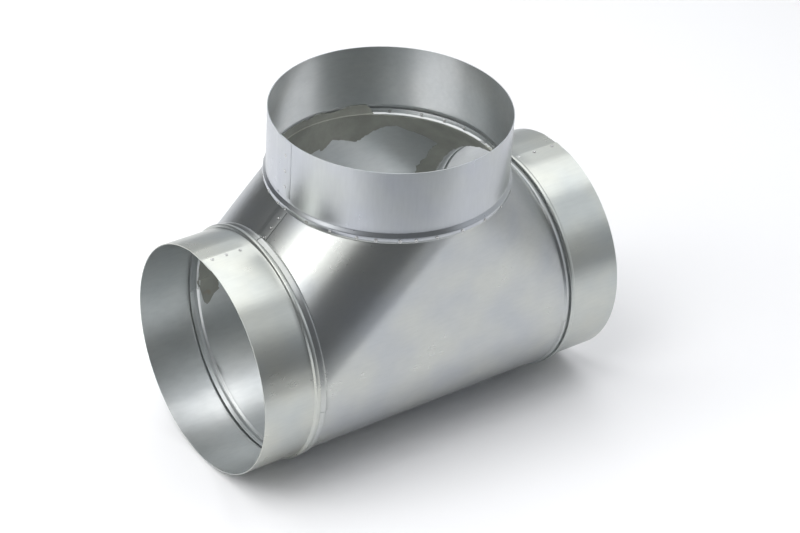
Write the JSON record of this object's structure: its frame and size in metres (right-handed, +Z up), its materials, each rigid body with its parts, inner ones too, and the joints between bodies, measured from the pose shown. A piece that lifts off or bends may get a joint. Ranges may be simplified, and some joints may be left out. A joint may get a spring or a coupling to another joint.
{
  "type": "spiral duct tee",
  "caption": "Round duct tee in galvanised sheet: male collars on the run, a socket collar on the branch, and oblique rolled throats joined by lapped, spot welded seams.",
  "frame": {"origin": "on the floor, straight below the point where the run's axis meets the branch's axis", "axes": "+X along the run to its right end, +Z up the branch, +Y to the rear"},
  "size_m": [0.358, 0.2066, 0.2889],
  "materials": {
    "body_sheet": "galvanised sheet steel, softly mottled, satin",
    "collar_sheet": "galvanised sheet steel, softly mottled, satin",
    "mastic": "dried duct mastic, brushed on, matte"
  },
  "bodies": {
    "root": {"lower_trough": "body_sheet", "front_shell": "body_sheet", "rear_shell": "body_sheet", "branch_collar": "collar_sheet", "run_collar_left": "collar_sheet", "run_collar_right": "collar_sheet", "throat_mastic_left": "mastic", "throat_mastic_right": "mastic"}
  },
  "joints": []
}
